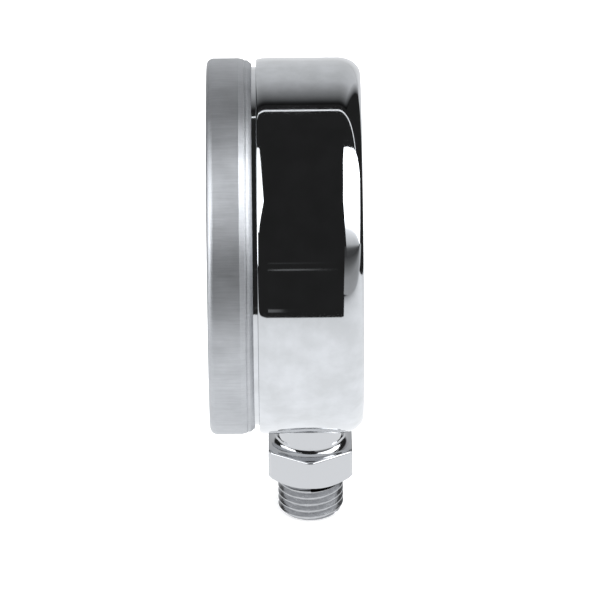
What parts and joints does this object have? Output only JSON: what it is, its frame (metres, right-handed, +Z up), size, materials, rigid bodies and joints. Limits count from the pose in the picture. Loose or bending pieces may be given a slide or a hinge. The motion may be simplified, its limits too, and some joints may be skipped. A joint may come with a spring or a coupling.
{
  "type": "pressure gauge",
  "caption": "Round Bourdon tube pressure gauge: stainless case and ring, bottom threaded stem with hexagon, dial, pointer and geared movement.",
  "frame": {"origin": "on the stem's axis, at the sealing face where the hexagon's underside meets the thread", "axes": "+Z up the stem towards the dial's centre, the dial looks along -Y, +X is the dial's right as it is read"},
  "size_m": [0.063, 0.0257, 0.0825],
  "materials": {
    "polished_stainless": "mirror polished",
    "brushed_stainless": "fine brushed",
    "window_glass": "clear",
    "black_rubber": "matte",
    "brass": "machined",
    "bronze": "drawn",
    "steel": "turned",
    "white_enamel": "satin",
    "black_enamel": "satin"
  },
  "bodies": {
    "housing": {"case": "polished_stainless", "bezel_ring": "brushed_stainless", "window": "window_glass", "window_gasket": "black_rubber", "blow_out_plug": "black_rubber", "socket": "polished_stainless", "weld_bead": "brushed_stainless", "restrictor_screw": "brass", "bourdon_tube": "bronze", "hairspring": "bronze", "hairspring_stud": "brass", "movement_back_plate": "brass", "movement_front_plate": "brass", "movement_pillars": "brass", "movement_plate_screws": "steel", "movement_mount_screws": "steel", "dial_posts": "brass", "dial": "white_enamel", "dial_screws": "steel", "stop_pin": "steel"},
    "pointer": {"pointer": "black_enamel", "pointer_hub": "brass", "pinion": "steel", "hairspring_collet": "brass"},
    "sector": {"sector_gear": "brass", "sector_arbor": "steel", "tail_pin": "steel"},
    "link": {"link": "brass"},
    "tip": {"tube_tip": "brass", "tip_pin": "steel"}
  },
  "joints": [
    {"name": "sector_swing", "type": "hinge", "parent": "housing", "child": "sector", "pos_m": [0.00637, 0, 0.03296], "axis": [0, -1, 0], "range_deg": [0, 36]},
    {"name": "pointer_spin", "type": "hinge", "parent": "housing", "child": "pointer", "pos_m": [0, 0, 0.044], "axis": [0, 1, 0], "range_deg": [0, 270], "deforming": ["hairspring"]},
    {"name": "tip_swing", "type": "hinge", "parent": "housing", "child": "tip", "pos_m": [-0.0032, 0, 0.0495], "axis": [0, -1, 0], "range_deg": [0, 7.92], "deforming": ["bourdon_tube"]},
    {"name": "link_swing", "type": "hinge", "parent": "sector", "child": "link", "pos_m": [0.00967, 0, 0.02989], "axis": [0, 1, 0], "range_deg": [0, 36.97]}
  ],
  "couplings": [
    {"joint": "pointer_spin", "follows": "sector_swing", "ratio": 7.5},
    {"joint": "tip_swing", "follows": "sector_swing", "ratio": 0.22},
    {"joint": "link_swing", "follows": "sector_swing", "ratio": 1.027}
  ]
}
